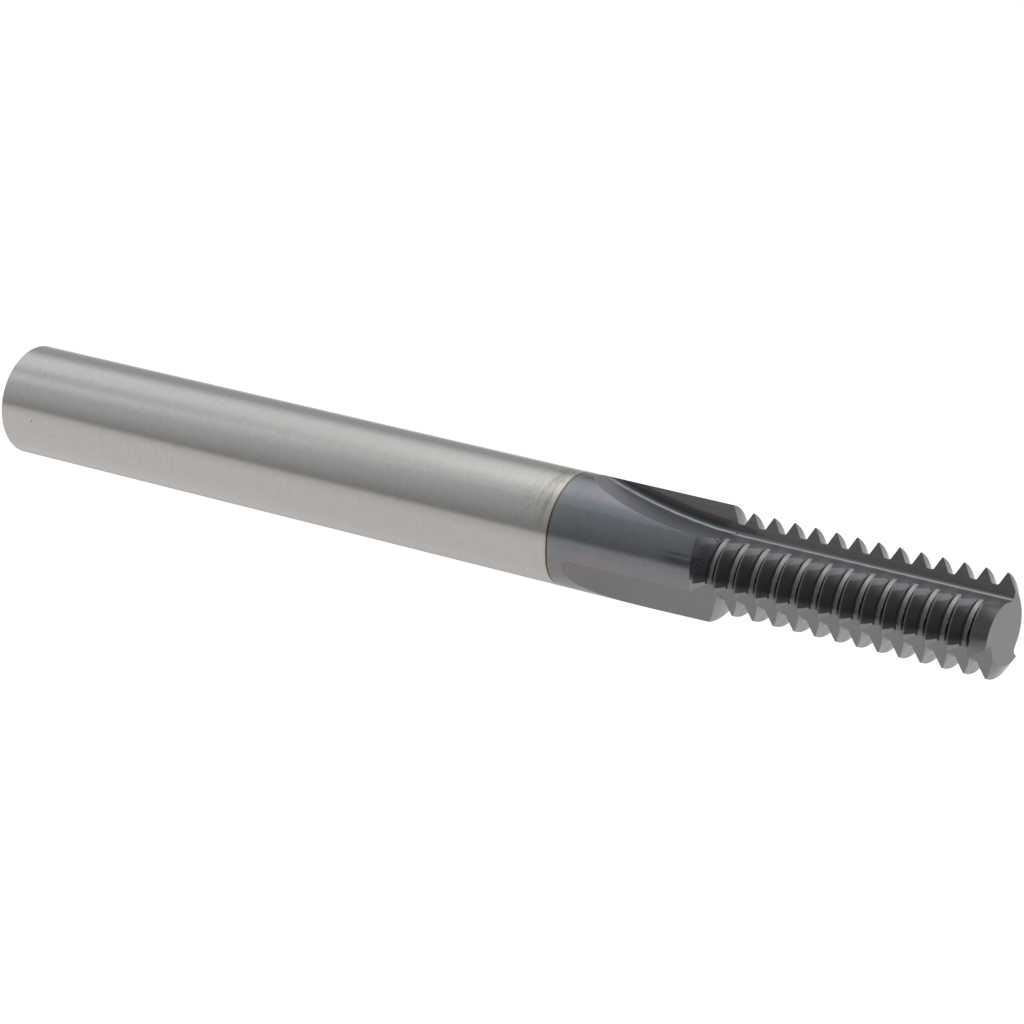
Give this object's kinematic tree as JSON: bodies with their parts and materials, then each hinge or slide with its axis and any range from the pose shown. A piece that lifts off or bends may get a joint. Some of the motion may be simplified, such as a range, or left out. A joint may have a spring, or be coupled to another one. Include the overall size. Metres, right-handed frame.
{
  "type": "thread mill",
  "caption": "Solid-carbide thread mill with a plain round shank, straight flutes and ring-shaped thread-form teeth, dark-coated at the cutting end.",
  "frame": {"origin": "centre of the flat back face of the shank, which the tool stands on", "axes": "+Z along the tool's axis from the shank to the cutting end; +X from the axis through the tip of one cutting edge; +Y completes a right-handed frame"},
  "size_m": [0.0064, 0.0064, 0.0639],
  "materials": {
    "carbide": "ground; bare carbide on the shank, dark blue-grey hard coating from the neck to the cutting end"
  },
  "bodies": {
    "root": {"thread_mill": "carbide"}
  },
  "joints": []
}
